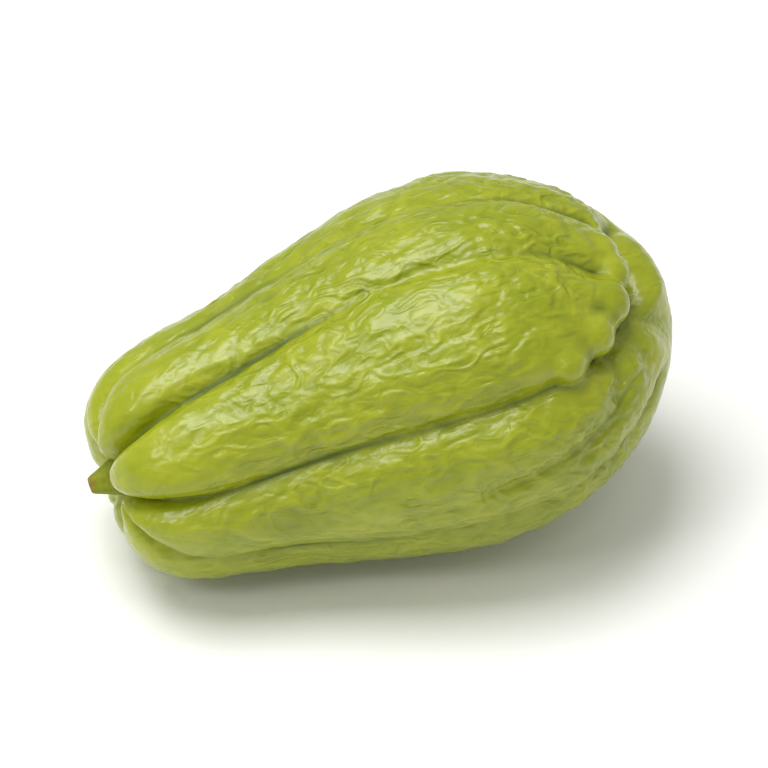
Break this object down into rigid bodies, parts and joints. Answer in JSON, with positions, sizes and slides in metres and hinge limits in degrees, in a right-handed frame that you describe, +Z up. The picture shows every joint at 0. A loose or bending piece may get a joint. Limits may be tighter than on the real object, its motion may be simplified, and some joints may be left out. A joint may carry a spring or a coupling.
{
  "type": "chayote squash",
  "caption": "Whole pear-shaped chayote lying on its side, furrowed lengthwise, with a folded cleft at the wide end and a dried stem stub in a pit at the narrow end.",
  "frame": {"origin": "centre of the bounding box on the table plane that the fruit rests on", "axes": "+X runs along the fruit from the stem end to the blossom end, +Z up, +Y sideways; the front with the deep furrow faces -Y"},
  "size_m": [0.143, 0.0932, 0.0865],
  "materials": {
    "skin": "waxy light green skin, finely wrinkled",
    "dried_stem": "green stem drying brown at the cut end, matte"
  },
  "bodies": {
    "root": {"fruit": "skin", "stem_stub": "dried_stem"}
  },
  "joints": []
}
